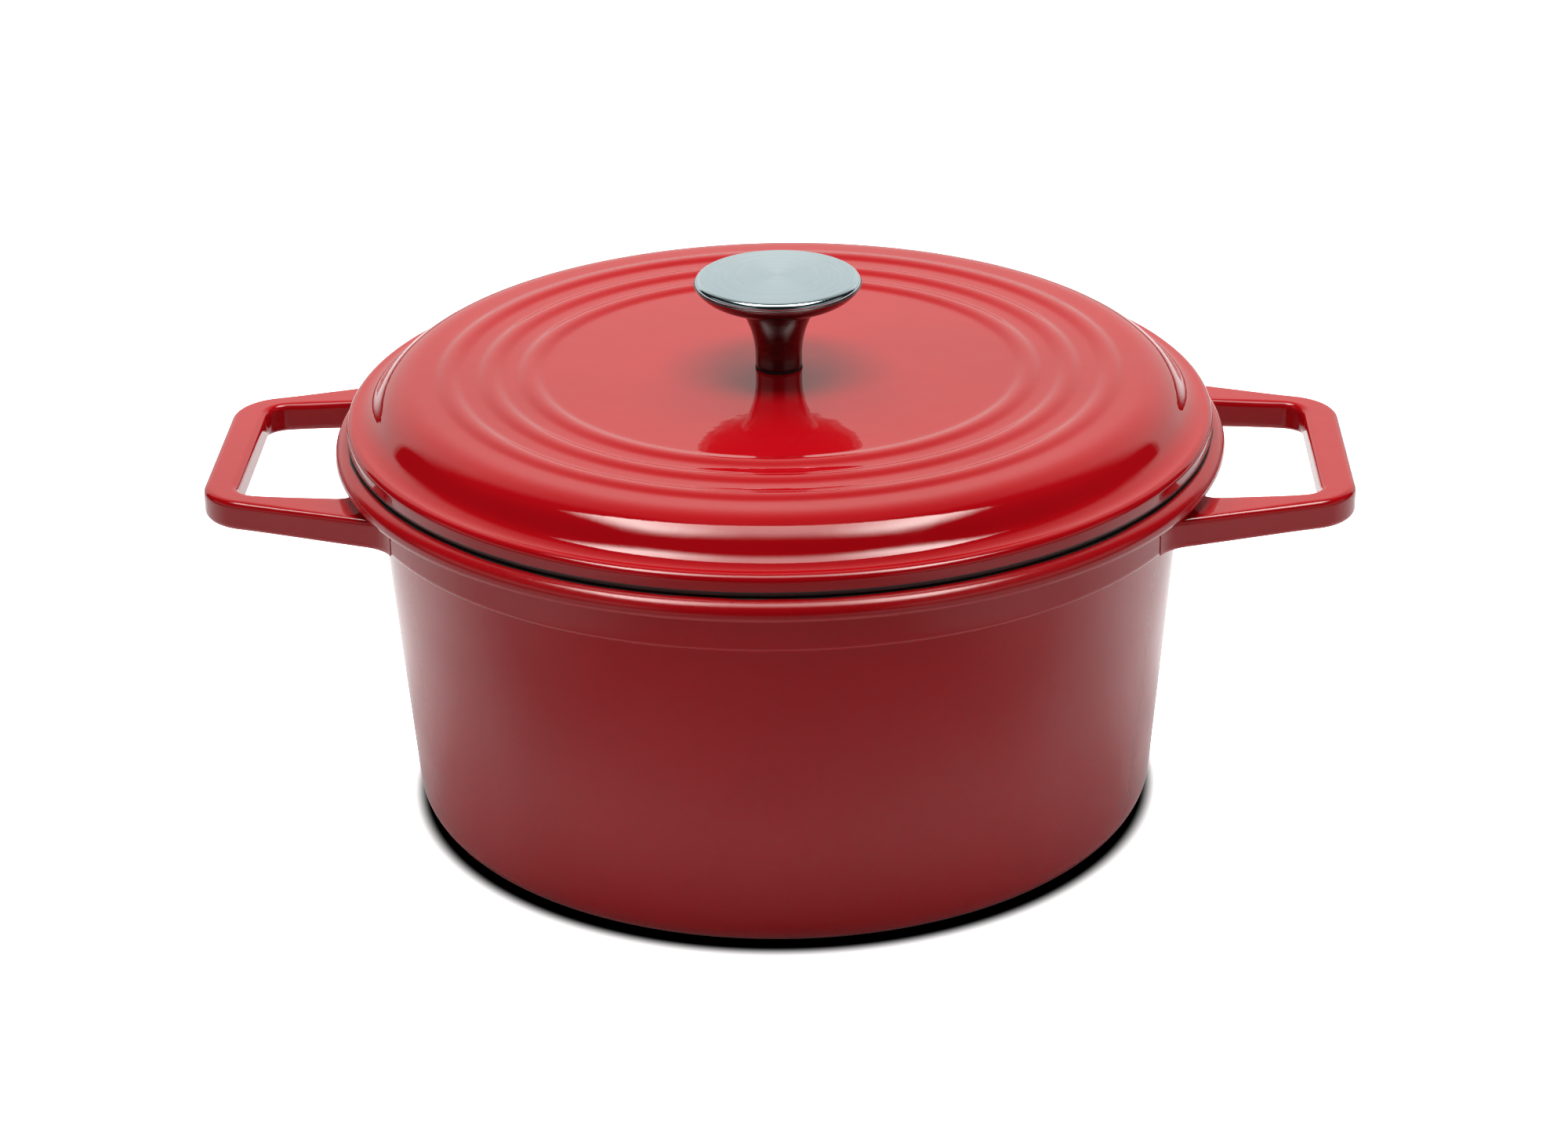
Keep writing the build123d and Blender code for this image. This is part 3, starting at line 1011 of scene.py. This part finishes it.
def side_cards(nodes, turn, lift):
    """A low dim card at each front side, with soft edges."""
    return nodes.times(
        nodes.between(turn, 76 * DEGREE, 88 * DEGREE),
        nodes.falling(turn, 144 * DEGREE, 156 * DEGREE),
        nodes.between(lift, 0.0, 8 * DEGREE, 0.0, 0.45),
        nodes.falling(lift, 17 * DEGREE, 25 * DEGREE),
    )


def reflected_studio():
    """What gloss mirrors: sweep, strip light, side cards and a dim room. The camera sees white."""
    room = 0.012
    mirrored_tint = (0.80, 0.79, 0.755, 1.0)
    nodes = WorldNodes()
    x, y, z = nodes.axes()
    turn = nodes.turn(x, y)
    lift = nodes.math("ARCSINE", z)
    glow = nodes.math("ADD", white_sweep(nodes, turn, lift), strip_light(nodes, x, y, z))
    glow = nodes.math("ADD", glow, nodes.math("ADD", side_cards(nodes, turn, lift), room))
    seen = nodes.add("ShaderNodeLightPath").outputs["Is Camera Ray"]
    background = nodes.add("ShaderNodeBackground")
    nodes.link(nodes.mix(seen, mirrored_tint, WHITE), background.inputs["Color"])
    nodes.link(nodes.blend(seen, glow, 1.0), background.inputs["Strength"])
    output = nodes.add("ShaderNodeOutputWorld")
    nodes.link(background.outputs["Background"], output.inputs["Surface"])


def returned_light(nodes, radius, x, y, is_mirrored):
    """How much light the paper returns, painted into its colour: less far off, and little in front to
    mirrored rays.
    """
    front = nodes.between(radius, 0.12, 0.27, 0.62, 0.18)
    beside = nodes.between(nodes.math("ABSOLUTE", x), 0.14, 0.30, 0.0, 0.4)
    behind = nodes.falling(nodes.turn(x, y), 75 * DEGREE, 135 * DEGREE)
    mirrored = nodes.blend(nodes.math("MAXIMUM", beside, behind), front, 0.74)
    return nodes.blend(is_mirrored, nodes.between(radius, 0.15, 0.50, 0.85, 0.30), mirrored)


def studio_floor():
    """Matt paper that glows white to the camera, but for a narrow painted contact shadow round the base,
    darkened by ambient occlusion and painted black within a set radius.
    """
    reach = 6000
    corners = [(-reach, -reach, 0), (reach, -reach, 0), (reach, reach, 0), (-reach, reach, 0)]
    floor = mesh_object("floor", corners, [(0, 1, 2, 3)])
    nodes = Nodes("floor_paper")
    x, y, _ = nodes.axes()
    radius = nodes.length(x, y)
    path = nodes.add("ShaderNodeLightPath").outputs
    seen = path["Is Camera Ray"]
    returned = returned_light(nodes, radius, x, y, path["Is Glossy Ray"])
    contact = nodes.add("ShaderNodeAmbientOcclusion", samples=16)
    contact.inputs["Distance"].default_value = 0.022
    # Painted shadow edge: inside this radius the paper is painted black and does not glow
    clear = nodes.between(radius, 0.1150, 0.1225)
    # Painted contact shade, seen by the camera only: darker where ambient occlusion is high
    painted_contact_shade = nodes.times(nodes.between(contact.outputs["AO"], 0.20, 0.50, 0.0, 0.9), clear)
    nodes.set(
        Base_Color=nodes.mix(seen, nodes.grey(returned), nodes.grey(painted_contact_shade)),
        Roughness=1.0,
        Specular_IOR_Level=0.0,
        Emission_Color=WHITE,
        Emission_Strength=nodes.times(seen, clear, 1.3),
    )
    floor.data.materials.append(nodes.material)


def softbox(name, place, target, size, radiance):
    """A rectangular light that faces its target. It lights matt surfaces and is not mirrored."""
    lamp = bpy.data.lights.new(name, "AREA")
    lamp.shape = "RECTANGLE"
    lamp.size, lamp.size_y = size
    lamp.energy = math.pi * radiance * size[0] * size[1]
    made = bpy.data.objects.new(name, lamp)
    made.location = place
    made.rotation_euler = (Vector(target) - Vector(place)).to_track_quat("-Z", "Y").to_euler()
    made.visible_glossy = False
    bpy.context.scene.collection.objects.link(made)


def studio():
    """Floor, what is mirrored, wide lights above and behind, and a fill at each front side."""
    bpy.context.scene.view_settings.view_transform = "Standard"
    reflected_studio()
    studio_floor()
    oven = (0.0, 0.0, 0.1)
    softbox("overhead", (0.0, 0.0, 1.6), oven, (1.2, 0.6), 9.5)
    for name, side in (("left", -1), ("right", 1)):
        softbox("back_" + name, (side * 0.55, 0.99, 1.27), oven, (0.9, 0.9), 5.2)
        softbox("fill_" + name, (side * 1.31, -0.92, 1.1), (0.0, 0.0, 1.1), (1.5, 2.1), 0.85)


def camera():
    """Looks down at the oven from the front, turned two degrees round it."""
    place = (0.0405, -1.1590, 0.5917)
    turn = Matrix.Rotation(math.radians(1.97), 4, "Z")
    tilt = Matrix.Rotation(math.pi / 2 - 0.4219, 4, "X")
    roll = Matrix.Rotation(-0.0146, 4, "Z")
    data = bpy.data.cameras.new("camera")
    data.sensor_width = 36.0
    data.lens = 92.19
    data.clip_end = 50.0
    made = bpy.data.objects.new("camera", data)
    made.matrix_world = Matrix.Translation(place) @ turn @ tilt @ roll
    bpy.context.scene.collection.objects.link(made)
    bpy.context.scene.camera = made


camera()
studio()
build_pot()
build_lid_and_knob()
build_fasteners()
